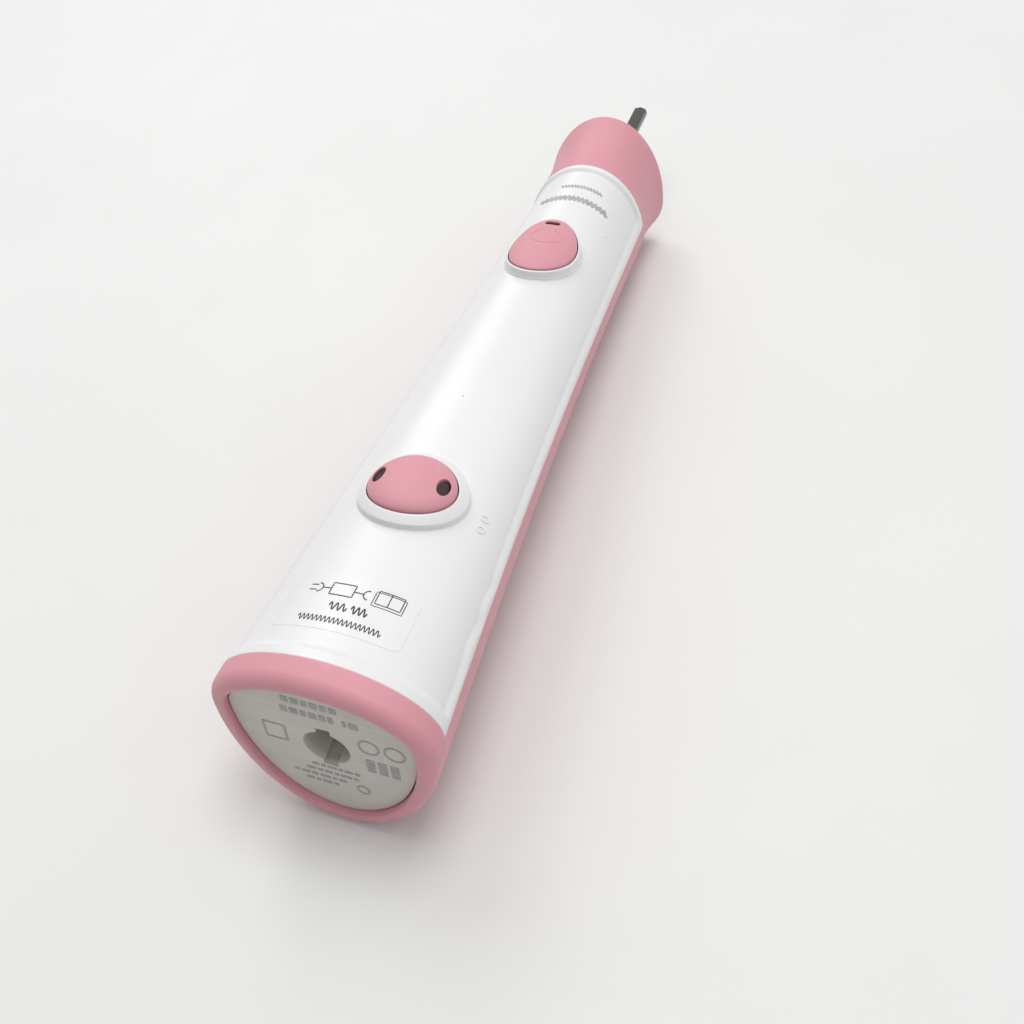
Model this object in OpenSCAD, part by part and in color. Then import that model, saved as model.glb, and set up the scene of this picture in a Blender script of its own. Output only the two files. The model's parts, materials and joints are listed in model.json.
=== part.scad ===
// Handle of an electric toothbrush, lying on its back on a table.
//
// Every piece is drawn upright: X to the right, Y towards the back of the handle,
// Z from the base to the brush end, with Z = 0 and X = Y = 0 at the mouth of the
// charging socket. place() then lays the piece on its back, with +Z of the row up.

/* [Handle outline] */
// Length from the socket mouth to the rim of the neck collar
handle_len = 160; // [130:1:195]
// Width across the base
base_w = 36.6; // [30:0.1:44]
// Front of the base ahead of the socket axis
base_front = 17.25; // [15.5:0.05:21]
// Back of the base behind the socket axis
base_back = 20.3; // [17:0.1:25]
// Width half way up
waist_w = 29.6; // [26:0.1:36]
// Front surface half way up, ahead of the socket axis
waist_front = 15.9; // [15.2:0.05:19]
// Back surface half way up, behind the socket axis
waist_back = 15.5; // [13:0.1:17]
// Width at the neck
neck_w = 25.6; // [24.5:0.1:31]
// Front surface at the neck, ahead of the socket axis
neck_front = 16; // [15.2:0.05:19]
// Back surface at the neck, behind the socket axis
neck_back = 11.5; // [9:0.1:13]
// Widest line of the base ahead of the socket axis
base_widest = 5.75; // [4.5:0.05:7]
// Widest line half way up, ahead of the socket axis
waist_widest = 5.6; // [4:0.05:6.5]
// Widest line of the neck ahead of the socket axis
neck_widest = 0.2; // [-0.5:0.05:2.5]
// Width of the collar rim
rim_w = 27.4; // [26:0.1:33]
// Depth of the collar rim, front to back
rim_depth = 30.8; // [27:0.1:35]
// Widest line of the rim behind the socket axis
rim_widest = 1.2; // [-1:0.05:2]
// Brush shaft axis ahead of the socket axis
shaft_forward = 3.37; // [2.5:0.01:4.5]
// Length of the soft collar at the neck
collar_len = 17; // [14:0.5:20]
// Narrowing of the collar half way along, on each side
collar_pinch = 0.75; // [0:0.05:1]
// Thinnest wall of the collar
collar_wall = 1.4; // [1.2:0.05:1.8]
// Angle by which the seam of the soft grip climbs towards the front at the neck
seam_rise = 8; // [0:0.5:12]

/* [Walls] */
// Wall of the hard shell
shell_wall = 1.8; // [1.4:0.1:2.2]
// Thickness of the soft grip over the shell
grip_wall = 1.5; // [1.2:0.1:1.8]
// Depth of the recessed front panel
recess = 0.6; // [0.3:0.1:0.8]
// Angle of the raised side rims, seen from the middle of the handle
rim_angle = 7; // [5:1:10]
// Gap between parts of the shell that are only pushed together
seat_gap = 0.1; // [0.05:0.01:0.15]

/* [Base] */
// Height of the soft base ring above the socket mouth
ring_top = 3.7; // [3:0.1:5]
// Depth of the socket mouth inside the base ring
foot_drop = 1.2; // [0.8:0.1:1.8]
// Width of the base ring, seen from below
ring_w = 2.86; // [2.4:0.01:3.4]
// Rounding of the outer edge of the base ring
ring_round = 2.2; // [1.5:0.1:2.6]
// Thickness of the end cap plate
cap_t = 2.2; // [1.8:0.1:2.6]
// Radius of the charging socket
socket_r = 3.85; // [3.4:0.05:4.2]
// Depth of the charging socket
socket_depth = 13; // [10:0.5:15]
// Width of the two keyways in the socket
keyway_w = 2.4; // [1.8:0.1:2.6]
// Depth of the keyways beyond the socket wall
keyway_depth = 1; // [0.6:0.1:1.2]
// Depth of the flats that the handle lies on
rest_flat = 0.35; // [0.25:0.05:0.5]

/* [Buttons] */
// Half width of the power button
power_rx = 6.6; // [5.6:0.1:7.2]
// Half length of the power button
power_rz = 8.7; // [7:0.1:9.2]
// Height of the power button's edge over the front panel
power_proud = 1.9; // [1.5:0.05:2.2]
// Height of the power button's dome over its edge
power_dome = 0.8; // [0.4:0.1:1.6]
// Distance of the power button below the neck
power_drop = 32.4; // [28:0.1:36]
// Width of the power button's bezel, from the button's edge to the bezel's side wall
power_bezel_w = 0.95; // [0.8:0.05:1.3]
// Height of the side wall of the power button's bezel
power_bezel_h = 0.5; // [0.3:0.05:1]
// Half width of the mode button
mode_rx = 7.5; // [6.5:0.1:8.2]
// Half length of the mode button
mode_rz = 6.4; // [5.4:0.1:7]
// Height of the mode button's edge over the front panel
mode_proud = 2.1; // [1.6:0.05:2.4]
// Height of the mode button's dome over its edge
mode_dome = 1.95; // [1.2:0.05:2.4]
// Height of the middle of the mode button above the socket mouth
mode_z = 40; // [32:0.5:46]
// Width of the mode button's bezel, from the button's edge to the bezel's side wall
mode_bezel_w = 1.9; // [1.2:0.05:2.1]
// Height of the side wall of the mode button's bezel
mode_bezel_h = 1.2; // [0.5:0.05:1.4]
// Travel of both buttons
button_travel = 0.6; // [0.4:0.05:0.8]
// Gap round a button in its bezel
button_gap = 0.2; // [0.12:0.01:0.3]
// Half width of the two oval windows in the mode button
window_rx = 1; // [0.8:0.05:1.1]
// Half length of the two oval windows in the mode button
window_rz = 1.75; // [1.2:0.05:1.9]
// Distance of the windows from the middle of the mode button
window_x = 5.6; // [4.8:0.1:5.7]

/* [Drive] */
// Radius of the brush shaft's free end
shaft_r = 1.7; // [1.5:0.05:2.1]
// Step from the free end up to the part that runs in the bearings
shaft_step = 0.25; // [0.15:0.05:0.35]
// Length of the brush shaft beyond the collar rim
shaft_out = 31; // [24:0.5:34]
// Length of the flat at the end of the shaft
flat_len = 9; // [6:0.5:12]
// Depth of the flat
flat_depth = 0.5; // [0.3:0.05:0.6]
// Radial gap of the shaft in its bearings
bearing_gap = 0.04; // [0.02:0.01:0.08]
// Radius of the magnets' outer face
magnet_r = 4.1; // [3.8:0.1:4.3]
// Gap between the magnets and the stator core
air_gap = 0.6; // [0.45:0.05:0.8]
// Length of the stator core
core_len = 14; // [11:0.5:16]

/* [Battery] */
// Radius of the battery cell
cell_r = 7.1; // [6.8:0.1:7.2]
// Length of the battery cell
cell_len = 49; // [44:0.5:51]
// Axis of the cell behind the socket axis
cell_back = 2.4; // [2:0.1:2.8]

/* [Hidden] */

// Colours of the pieces
PINK = [0.91, 0.62, 0.68];
WHITE = [0.94, 0.94, 0.94];
WARM_GREY = [0.78, 0.76, 0.73];
SMOKE = [0.2, 0.13, 0.13];
STEEL = [0.6, 0.6, 0.62];
COPPER = [0.72, 0.42, 0.25];
BOARD_GREEN = [0.1, 0.4, 0.2];

eps = 0.01;
skin_gap = 0.02;          // between bonded skins
foot_z = -foot_drop;      // lowest face of the base ring when the handle stands
rim_z = handle_len;
neck_z = rim_z - collar_len;
power_z = neck_z - power_drop;
tip_z = rim_z + shaft_out;
shaft_chamfer = 0.5;
collar_round = 1.2;       // rounding of the collar's rim
rim_bevel = 0.6;          // drop of the rim's end face towards the bore
collar_bore = min(neck_w / 2 - collar_pinch, neck_front - shaft_forward) - collar_wall;
front_inset = shell_wall + recess;
back_inset = shell_wall + grip_wall;
panel_lo = ring_top + 1.5;
panel_hi = neck_z - 1.3;
step_run = 0.7;           // length over which the panel steps down

// ---- Outline of the handle ----

function clamp01(v) = max(0, min(1, v));
function up(z) = clamp01((z - ring_top) / (neck_z - ring_top));
// A parabola through three values, at the base, half way up and at the neck
function curve(base, waist, neck, z) =
    let (t = up(z))
    base * (1 - t) * (1 - 2 * t) + 4 * waist * t * (1 - t) + neck * t * (2 * t - 1);
// Share of the collar's length at height z, and a value that flares along it
function along_collar(z) = clamp01((z - neck_z) / collar_len);
function flared(neck, rim, z) = (rim - neck) * pow(along_collar(z), 1.25);
function pinch(z) = 4 * collar_pinch * along_collar(z) * (1 - along_collar(z));
function half_w(z) = curve(base_w, waist_w, neck_w, z) / 2 + flared(neck_w, rim_w, z) / 2 - pinch(z);
function front(z) = curve(base_front, waist_front, neck_front, z)
    + flared(neck_front, shaft_forward + rim_depth / 2, z);
function back(z) = curve(base_back, waist_back, neck_back, z)
    + flared(neck_back, rim_depth / 2 - shaft_forward, z);
// The widest line of the handle runs this far ahead of the socket axis
function widest(z) = curve(base_widest, waist_widest, neck_widest, z)
    + flared(neck_widest, -rim_widest, z);
// The seam of the soft grip lies this angle ahead of the widest line
function seam(z) = seam_rise * pow(up(z), 3);

// ---- Resting pose ----

// The handle rests on the back of the base ring and the back of the collar rim
rest_z1 = foot_z + ring_round;
rest_z2 = rim_z - collar_round;
rest_slope = (back(rest_z1) - back(rest_z2)) / (rest_z2 - rest_z1);
tilt = atan(rest_slope);
rest_y0 = back(rest_z1) + rest_slope * rest_z1 - rest_flat;
// Depth of the table behind the socket axis, at height z
function table(z) = rest_y0 - rest_slope * z;
lift = rest_y0 * cos(tilt);
lay_min = foot_z * cos(tilt) + ring_round * cos(tilt) - ring_round
    - (base_back - ring_round) * sin(tilt);
lay_max = (shaft_forward + shaft_r - shaft_chamfer) * sin(tilt) + tip_z * cos(tilt);

module place() {
    translate([0, -(lay_min + lay_max) / 2, lift])
        rotate([-90 - tilt, 0, 0])
            children();
}

// ---- Lofts ----

// Points of the handle's section at height z, set in by d, at the given angles.
// Angles run from the right over the back (90) to the left and the front (270).
function section(z, d, angles) = [
    for (a = angles)
        let (half_depth = (sin(a) >= 0 ? back(z) + widest(z) : front(z) - widest(z)) - d)
        [(half_w(z) - d) * cos(a), min(half_depth * sin(a) - widest(z), table(z)), z]
];

around = [for (i = [0 : 47]) i * 7.5];
rim_step = 7;             // angle over which the panel steps down beside a rim

// Angles over the back and over the front, from seam to seam, kept trim away from it
function over_back(z, trim = 0) = [
    for (i = [0 : 24])
        max(trim - seam(z), min(180 + seam(z) - trim, i * (180 + 2 * seam(z)) / 24 - seam(z)))
];
function over_front(z, trim = 0) =
    let (
        edge = seam(z) + rim_angle,
        step = edge + rim_step,
        fan = [for (i = [0 : 18]) 180 + step + i * (180 - 2 * step) / 18]
    )
    concat(
        [180 + seam(z) + trim, 180 + edge - rim_angle / 2, 180 + edge],
        fan,
        [360 - edge, 360 - edge + rim_angle / 2, 360 - seam(z) - trim]
    );

// Joins closed rings of equal count into a skin; the last ring joins the first
module closed_loft(rings) {
    n = len(rings[0]);
    m = len(rings);
    polyhedron(
        points = [for (ring = rings) each ring],
        faces = [
            for (i = [0 : m - 1], j = [0 : n - 1], half = [0, 1])
                let (
                    a = i * n + j,
                    b = i * n + (j + 1) % n,
                    c = ((i + 1) % m) * n + (j + 1) % n,
                    d = ((i + 1) % m) * n + j
                )
                half == 0 ? [a, c, b] : [a, d, c]
        ]
    );
}

// Joins closed rings into a skin with a flat cap at each end. A cap is a strip between
// the first half of its ring and the second half, so it also closes a C-shaped ring.
module capped_loft(rings) {
    n = len(rings[0]);
    m = len(rings);
    top = (m - 1) * n;
    polyhedron(
        points = [for (ring = rings) each ring],
        faces = [
            for (i = [0 : m - 2], j = [0 : n - 1], half = [0, 1])
                let (
                    a = i * n + j,
                    b = i * n + (j + 1) % n,
                    c = (i + 1) * n + (j + 1) % n,
                    d = (i + 1) * n + j
                )
                half == 0 ? [a, c, b] : [a, d, c],
            for (j = [0 : n / 2 - 2])
                each [
                    [j, j + 1, n - 2 - j],
                    [j, n - 2 - j, n - 1 - j],
                    [top + j, top + n - 2 - j, top + j + 1],
                    [top + j, top + n - 1 - j, top + n - 2 - j]
                ]
        ]
    );
}

// ---- Room inside the shell ----

// Depth that is free behind (back_room) and ahead of (front_room) the socket axis at x
function back_room(z, x) =
    (back(z) + widest(z) - back_inset) * sqrt(1 - pow(x / (half_w(z) - back_inset), 2)) - widest(z);
function front_room(z, x) =
    (front(z) - widest(z) - front_inset) * sqrt(1 - pow(x / (half_w(z) - front_inset), 2)) + widest(z);
// Half width that is free at depth y, where a negative y is ahead of the socket axis
function side_room(z, y) =
    y > -widest(z)
    ? (half_w(z) - back_inset) * sqrt(1 - pow((y + widest(z)) / (back(z) + widest(z) - back_inset), 2))
    : (half_w(z) - front_inset)
        * sqrt(1 - pow((y + widest(z)) / (front(z) - widest(z) - front_inset), 2));
// Surface of the recessed panel ahead of the socket axis at x
function panel(z, x) =
    (front(z) - widest(z) - recess) * sqrt(1 - pow(x / (half_w(z) - recess), 2)) + widest(z);

// ---- Shell, grip, collar and ring ----

function in_panel(z, a) =
    let (edge = seam(z) + rim_angle + rim_step / 2)
    z > panel_lo && z < panel_hi && a > 180 + edge && a < 360 - edge;
function shell_ring(z) = concat(
    section(z, grip_wall, over_back(z)),
    [for (a = over_front(z)) section(z, in_panel(z, a) ? recess : 0, [a])[0]]
);
// The two halves of the bore meet in a short slope at the seam
bore_trim = 1;
function shell_bore(z) = concat(
    section(z, back_inset, over_back(z, bore_trim)),
    section(z, front_inset, over_front(z, bore_trim))
);

bezel_ledge = 0.2;        // a bezel's barrel lies this far inside its side wall
bezel_foot = 0.3;         // a bezel's foot reaches this far beyond its side wall

// An oval prism round the point z0 of the front, between two distances ahead of the socket axis
module oval_prism(x0, z0, rx, rz, low, high) {
    translate([x0, 0, z0])
        rotate([90, 0, 0])
            translate([0, 0, low])
                linear_extrude(high - low)
                    polygon([for (i = [0 : 47]) [rx * cos((i + 0.5) * 7.5), rz * sin((i + 0.5) * 7.5)]]);
}

// The hole in the shell for the barrel of a bezel whose side wall is an oval of rx and rz
module bezel_hole(z0, rx, rz) {
    room = seat_gap - bezel_ledge;
    oval_prism(0, z0, rx + room, rz + room, widest(z0), front(z0) + 1);
}

module housing() {
    run = panel_hi - panel_lo;
    outer = concat(
        [ring_top, panel_lo, panel_lo + step_run],
        [for (i = [1 : 13]) panel_lo + i * run / 14],
        [panel_hi - step_run, panel_hi, neck_z]
    );
    inner = [for (i = [8 : -1 : 0]) ring_top + i * (neck_z - ring_top) / 8];
    color(WHITE) place()
        difference() {
            closed_loft(concat([for (z = outer) shell_ring(z)], [for (z = inner) shell_bore(z)]));
            bezel_hole(power_z, power_rx + power_bezel_w, power_rz + power_bezel_w);
            bezel_hole(mode_z, mode_rx + mode_bezel_w, mode_rz + mode_bezel_w);
        }
}

function reversed(list) = [for (i = [len(list) - 1 : -1 : 0]) list[i]];

module soft_grip() {
    stations = [for (i = [0 : 14]) ring_top + i * (neck_z - ring_top) / 14];
    color(PINK) place()
        capped_loft([
            for (z = stations)
                concat(
                    section(z, 0, over_back(z)),
                    reversed(section(z, grip_wall - skin_gap, over_back(z)))
                )
        ]);
}

module neck_collar() {
    outer = [for (i = [0 : 8]) neck_z + i * (collar_len - collar_round) / 8];
    bore = function (z) [
        for (a = around) [collar_bore * cos(a), collar_bore * sin(a) - shaft_forward, z]
    ];
    color(PINK) place()
        closed_loft(concat(
            [for (z = outer) section(z, 0, around)],
            [for (a = [30, 60, 90])
                section(rim_z - collar_round * (1 - sin(a)), collar_round * (1 - cos(a)), around)],
            [bore(rim_z - rim_bevel)],
            [bore(neck_z)]
        ));
}

module base_ring() {
    edge = [for (i = [0 : 5]) i * 18];
    color(PINK) place()
        closed_loft(concat(
            [for (a = edge)
                section(foot_z + ring_round * (1 - sin(a)), ring_round * (1 - cos(a)), around)],
            [section(foot_z + 0.4, ring_w - 0.1, around)],
            [section(foot_z + 0.9, ring_w, around)],
            [section(ring_top, ring_w, around)],
            [section(ring_top, 0, around)]
        ));
}

// ---- End cap with the charging socket ----

well_wall = 1.4;
well_end = socket_depth + 1.2;
cap_seam = 0.25;

module keyways(depth) {
    reach = socket_r + keyway_depth;
    translate([-keyway_w / 2, -reach, -eps])
        cube([keyway_w, 2 * reach, depth + eps]);
}

module end_cap() {
    color(WARM_GREY) place()
        difference() {
            union() {
                linear_extrude(cap_t)
                    polygon([for (p = section(0, ring_w + cap_seam, around)) [p[0], p[1]]]);
                cylinder(r = socket_r + keyway_depth + well_wall, h = well_end, $fn = 64);
            }
            translate([0, 0, -eps])
                cylinder(r = socket_r, h = socket_depth + eps, $fn = 64);
            keyways(socket_depth);
        }
}

module end_cap_seal() {
    lip_w = 1.6;
    seal_h = ring_top - cap_t - 2 * seat_gap;
    color(SMOKE) place()
        translate([0, 0, cap_t + seat_gap])
            linear_extrude(seal_h)
                difference() {
                    polygon([for (p = section(0, ring_w + cap_seam, around)) [p[0], p[1]]]);
                    polygon([for (p = section(0, ring_w + cap_seam + lip_w, around)) [p[0], p[1]]]);
                }
}

bobbin_r = socket_r + keyway_depth + well_wall + seat_gap;
bobbin_z0 = cap_t + 1.5;
bobbin_z1 = well_end - 0.4;
flange_t = 1;
flange_r = min(11, base_front - front_inset - well_wall);
winding_in = 0.5;         // the winding ends this far inside its flanges

module coil_bobbin() {
    color(WARM_GREY) place()
        rotate_extrude($fn = 64)
            polygon([
                [bobbin_r, bobbin_z0], [flange_r, bobbin_z0],
                [flange_r, bobbin_z0 + flange_t], [bobbin_r + flange_t, bobbin_z0 + flange_t],
                [bobbin_r + flange_t, bobbin_z1 - flange_t], [flange_r, bobbin_z1 - flange_t],
                [flange_r, bobbin_z1], [bobbin_r, bobbin_z1]
            ]);
}

module charging_coil() {
    low = bobbin_z0 + flange_t + skin_gap;
    high = bobbin_z1 - flange_t - skin_gap;
    color(COPPER) place()
        rotate_extrude($fn = 64)
            translate([bobbin_r + flange_t + skin_gap, low])
                square([flange_r - bobbin_r - flange_t - winding_in, high - low]);
}

// ---- Buttons ----

board_front = 10.2;       // front face of the circuit board ahead of the socket axis
board_t = 1;
switch_h = 1.5;
skirt_in = 0.8;           // a button reaches this far below the lowest point of its edge
dome_turn = 78;           // a button's dome is this much of a quarter turn of an ellipse

// A ring of points of an oval, whose heights ahead of the socket axis are given in a list
function oval(z0, rx, rz, heights) = [
    for (i = [0 : 47]) [rx * cos(i * 7.5), -heights[i], z0 + rz * sin(i * 7.5)]
];
function level(h) = [for (i = [0 : 47]) h];
function on_panel(z0, rx, rz, gap) = [
    for (i = [0 : 47]) panel(z0 + rz * sin(i * 7.5), rx * cos(i * 7.5)) + gap
];
// An oval ring that follows the front panel at a height over it
function panel_ring(z0, rx, rz, gap) = oval(z0, rx, rz, on_panel(z0, rx, rz, gap));
// The flat underside of a button
function underside(z0, rx, rz, proud) = min(on_panel(z0, rx, rz, proud)) - skirt_in;
// Height of a button's face ahead of the socket axis, at x on its middle line
function face(z0, rx, proud, dome, x) =
    panel(z0, x) + proud + dome * sqrt(1 - pow(x / rx, 2)) / sin(dome_turn);

power_under = underside(power_z, power_rx, power_rz, power_proud);
mode_under = underside(mode_z, mode_rx, mode_rz, mode_proud);

// A domed oval button, whose edge follows the front panel
module domed_button(z0, rx, rz, under, proud, dome) {
    arcs = [for (i = [0 : 6]) i * dome_turn / 6];
    capped_loft(concat(
        [oval(z0, rx, rz, level(under))],
        [for (a = arcs) panel_ring(z0, rx * cos(a), rz * cos(a), proud + dome * sin(a) / sin(dome_turn))]
    ));
}

// A raised ring that frames a button, with a sloping top and a low side wall
module bezel(z0, rx, rz, proud, width, wall) {
    inner = button_gap;
    crest = inner + 0.3;
    crest_drop = 0.05;
    inner_drop = 0.15;
    barrel_in = 1.4;
    barrel = width - bezel_ledge;
    foot = width + bezel_foot;
    barrel_end = front_room(z0, 0) - barrel_in;
    seat = 0.08;
    closed_loft([
        oval(z0, rx + inner, rz + inner, level(barrel_end)),
        oval(z0, rx + barrel, rz + barrel, level(barrel_end)),
        panel_ring(z0, rx + barrel, rz + barrel, seat),
        panel_ring(z0, rx + foot, rz + foot, seat),
        panel_ring(z0, rx + width, rz + width, wall),
        panel_ring(z0, rx + crest, rz + crest, proud - crest_drop),
        panel_ring(z0, rx + inner, rz + inner, proud - inner_drop)
    ]);
}

module power_bezel() {
    color(WHITE) place()
        bezel(power_z, power_rx, power_rz, power_proud, power_bezel_w, power_bezel_h);
}

module mode_bezel() {
    color(WHITE) place()
        bezel(mode_z, mode_rx, mode_rz, mode_proud, mode_bezel_w, mode_bezel_h);
}

// A pin that stands towards the front, between two distances ahead of the socket axis
module front_pin(x, z, r, low, high) {
    translate([x, -low, z])
        rotate([90, 0, 0])
            cylinder(r = r, h = high - low, $fn = 48);
}

window_gap = 0.05;
window_top = face(mode_z, mode_rx, mode_proud, mode_dome, window_x + window_rx);
light_x = 1.55;           // half width of the light window in the power button
light_z = power_z + power_rz * 0.77;
light_h = 1.2;
light_top = panel(light_z, 0) + power_proud + power_dome * 0.3;

module light_window(grow, low, high) {
    translate([-light_x - grow, -high, light_z - light_h / 2 - grow])
        cube([2 * (light_x + grow), high - low, light_h + 2 * grow]);
}

module power_button() {
    color(PINK) place()
        difference() {
            domed_button(power_z, power_rx, power_rz, power_under, power_proud, power_dome);
            light_window(window_gap, power_under - eps, light_top + power_dome);
        }
}

module power_light_window() {
    color(SMOKE) place() light_window(0, power_under, light_top);
}

module mode_windows(grow, low, high) {
    for (side = [-1, 1])
        oval_prism(side * window_x, mode_z, window_rx + grow, window_rz + grow, low, high);
}

module mode_button() {
    color(PINK) place()
        difference() {
            domed_button(mode_z, mode_rx, mode_rz, mode_under, mode_proud, mode_dome);
            mode_windows(window_gap, mode_under - eps, window_top + mode_dome);
        }
}

module mode_light_windows() {
    color(SMOKE) place() mode_windows(0, mode_under, window_top);
}

// Hard plunger that pushes a switch: a flat head under the soft cap and a stem
module plunger(z0, under) {
    head_r = 3.6;
    head_t = 1;
    stem_r = 1.4;
    head_front = under - skin_gap;
    stem_end = board_front + switch_h + button_travel + 0.15;
    front_pin(0, z0, head_r, head_front - head_t, head_front);
    front_pin(0, z0, stem_r, stem_end, head_front - head_t + eps);
}

module power_plunger() {
    color(WHITE) place() plunger(power_z, power_under);
}

module mode_plunger() {
    color(WHITE) place() plunger(mode_z, mode_under);
}

// ---- Chassis, board and battery ----

wall_room = 0.4;          // air between a piece inside and the wall of the shell
cell_room = 1.2;          // air at each end of the cell, for its tabs
cell_z0 = well_end + 3.4;
cell_z1 = cell_z0 + cell_len;
drive_z0 = cell_z1 + 6;
drive_z1 = neck_z - 11;
board_z0 = cell_z0 + 1;
board_z1 = power_z + 9;
board_half = min(
    7.5,
    side_room(board_z1, -board_front) - wall_room,
    side_room(board_z0, -board_front) - wall_room
);
tray_front = board_front - board_t - 1;
tray_t = 1.2;
tray_half = min(9, side_room(drive_z1, -tray_front) - wall_room);
wall_t = 1.4;
wall_half = 6.5;

module chassis_wall(z) {
    low = -tray_front;
    high = back_room(z, wall_half) - wall_room;
    translate([-wall_half, low, z])
        cube([2 * wall_half, high - low, wall_t]);
}

module chassis() {
    boss_r = 1.8;
    low = cell_z0 - cell_room - wall_t;
    color(WARM_GREY) place()
        difference() {
            union() {
                translate([-tray_half, -tray_front, low])
                    cube([2 * tray_half, tray_t, drive_z1 - low]);
                chassis_wall(low);
                chassis_wall(cell_z1 + cell_room);
                for (z = screw_z)
                    front_pin(0, z, boss_r, tray_front - eps, board_front - board_t - skin_gap);
            }
            for (z = screw_z)
                front_pin(0, z, 0.75, tray_front - tray_t - eps, board_front);
        }
}

screw_z = [board_z0 + 5, (mode_z + power_z) / 2];

module circuit_board() {
    color(BOARD_GREEN) place()
        difference() {
            translate([-board_half, -board_front, board_z0])
                cube([2 * board_half, board_t, board_z1 - board_z0]);
            for (z = screw_z)
                front_pin(0, z, 1.1, board_front - board_t - eps, board_front + eps);
        }
}

module board_screws() {
    color(STEEL) place()
        for (z = screw_z) {
            front_pin(0, z, 0.7, tray_front - tray_t + 0.2, board_front + skin_gap + eps);
            front_pin(0, z, 1.7, board_front + skin_gap, board_front + 0.9);
        }
}

// A block on the front of the board
module on_board(x, z, w, h, t) {
    translate([x - w / 2, -board_front - t - skin_gap, z - h / 2])
        cube([w, t, h]);
}

chip_z = (mode_z + power_z) / 2 - 12;

module controller_chip() {
    color(SMOKE) place() {
        on_board(0, chip_z, 5, 6.5, 1.2);
        for (side = [-1, 1], i = [-2 : 2])
            on_board(side * 3, chip_z + i * 1.2, 0.9, 0.4, 0.4);
    }
}

module board_components() {
    color([0.35, 0.3, 0.25]) place() {
        for (i = [-2 : 2])
            on_board(-board_half + 1.6, chip_z + 4 + i * 2.2, 1.2, 0.7, 0.6);
        on_board(board_half - 2, chip_z + 9, 2, 3, 1);
        on_board(-1.5, chip_z - 8, 3, 2.6, 1.1);
        on_board(2.4, chip_z - 8, 2, 1.2, 0.9);
        on_board(0, power_z - 12, 3, 1.6, 0.9);
    }
}

module indicator_leds() {
    color([0.9, 0.9, 0.75]) place() {
        for (side = [-1, 1])
            on_board(side * min(window_x, board_half - 1), mode_z, 1.6, 1, 0.8);
        on_board(0, light_z, 1.6, 1, 0.8);
    }
}

module tact_switch(z0) {
    on_board(0, z0, 4, 4, switch_h - 0.5);
    front_pin(0, z0, 1.2, board_front + switch_h - 0.5 + skin_gap - eps, board_front + switch_h);
}

module power_switch() {
    color(STEEL) place() tact_switch(power_z);
}

module mode_switch() {
    color(STEEL) place() tact_switch(mode_z);
}

module battery() {
    button_r = 2.6;
    color([0.3, 0.5, 0.35]) place()
        translate([0, cell_back, cell_z0])
            rotate_extrude($fn = 64)
                polygon([
                    [0, 0], [cell_r - 0.6, 0], [cell_r, 0.6], [cell_r, cell_len - 1.6],
                    [cell_r - 0.6, cell_len - 1], [button_r, cell_len - 1],
                    [button_r, cell_len], [0, cell_len]
                ]);
}

module battery_tabs() {
    tab_w = 4;
    tab_t = 0.3;
    reach = cell_back + tray_front - tray_t - skin_gap;
    color(STEEL) place()
        for (z = [cell_z0 - tab_t - skin_gap, cell_z1 + skin_gap])
            translate([-tab_w / 2, cell_back - reach, z])
                cube([tab_w, reach + 2, tab_t]);
}

module battery_pad() {
    pad_len = cell_len - 12;
    pad_t = cell_back - cell_r + tray_front - tray_t - 2 * seat_gap;
    color([0.25, 0.25, 0.27]) place()
        translate([-3, tray_t - tray_front + seat_gap, cell_z0 + 6])
            cube([6, pad_t, pad_len]);
}

// ---- Drive ----

plate_t = 2.5;
bush_r = 3.4;
frame_half = min(7.6, side_room(drive_z1, 4.4) - 0.5);
frame_front = tray_front - tray_t - seat_gap;
frame_back = min(4.8, back_room(drive_z1, frame_half) - 0.3);
rail_t = 1;
rotor_z0 = drive_z0 + 15;
core_front = magnet_r + air_gap - shaft_forward;
yoke_back = core_front + 4.4;
core_half = min(6, frame_half - rail_t - 0.3);
yoke_t = 1.6;
leg_t = 1.4;
middle_leg = 2.4;
magnet_t = 1.1;
coil_room = 3;

// Something turned about the brush shaft's axis
module on_shaft() {
    translate([0, -shaft_forward, 0])
        children();
}

module shaft_hole(r, low, high) {
    on_shaft()
        translate([0, 0, low - eps])
            cylinder(r = r, h = high - low + 2 * eps, $fn = 64);
}

module drive_frame() {
    color(STEEL) place()
        difference() {
            union() {
                for (z = [drive_z0, drive_z1 - plate_t])
                    translate([-frame_half, -frame_front, z])
                        cube([2 * frame_half, frame_front + frame_back, plate_t]);
                for (x = [-frame_half, frame_half - rail_t])
                    translate([x, -frame_front, drive_z0])
                        cube([rail_t, frame_front + core_front - 1, drive_z1 - drive_z0]);
            }
            shaft_hole(bush_r, drive_z0, drive_z0 + plate_t);
            shaft_hole(bush_r, drive_z1 - plate_t, drive_z1);
        }
}

module frame_screws() {
    color(STEEL) place()
        for (side = [-1, 1])
            translate([side * (frame_half - 2), frame_back - 2, drive_z1 + skin_gap])
                cylinder(r = 1.4, h = 1, $fn = 32);
}

journal_r = shaft_r + shaft_step;

module bush(z) {
    on_shaft()
        translate([0, 0, z])
            difference() {
                cylinder(r = bush_r, h = plate_t, $fn = 64);
                translate([0, 0, -eps])
                    cylinder(r = journal_r + bearing_gap, h = plate_t + 2 * eps, $fn = 64);
            }
}

module rear_bearing() {
    color([0.7, 0.55, 0.3]) place() bush(drive_z0);
}

module front_bearing() {
    color([0.7, 0.55, 0.3]) place() bush(drive_z1 - plate_t);
}

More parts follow.
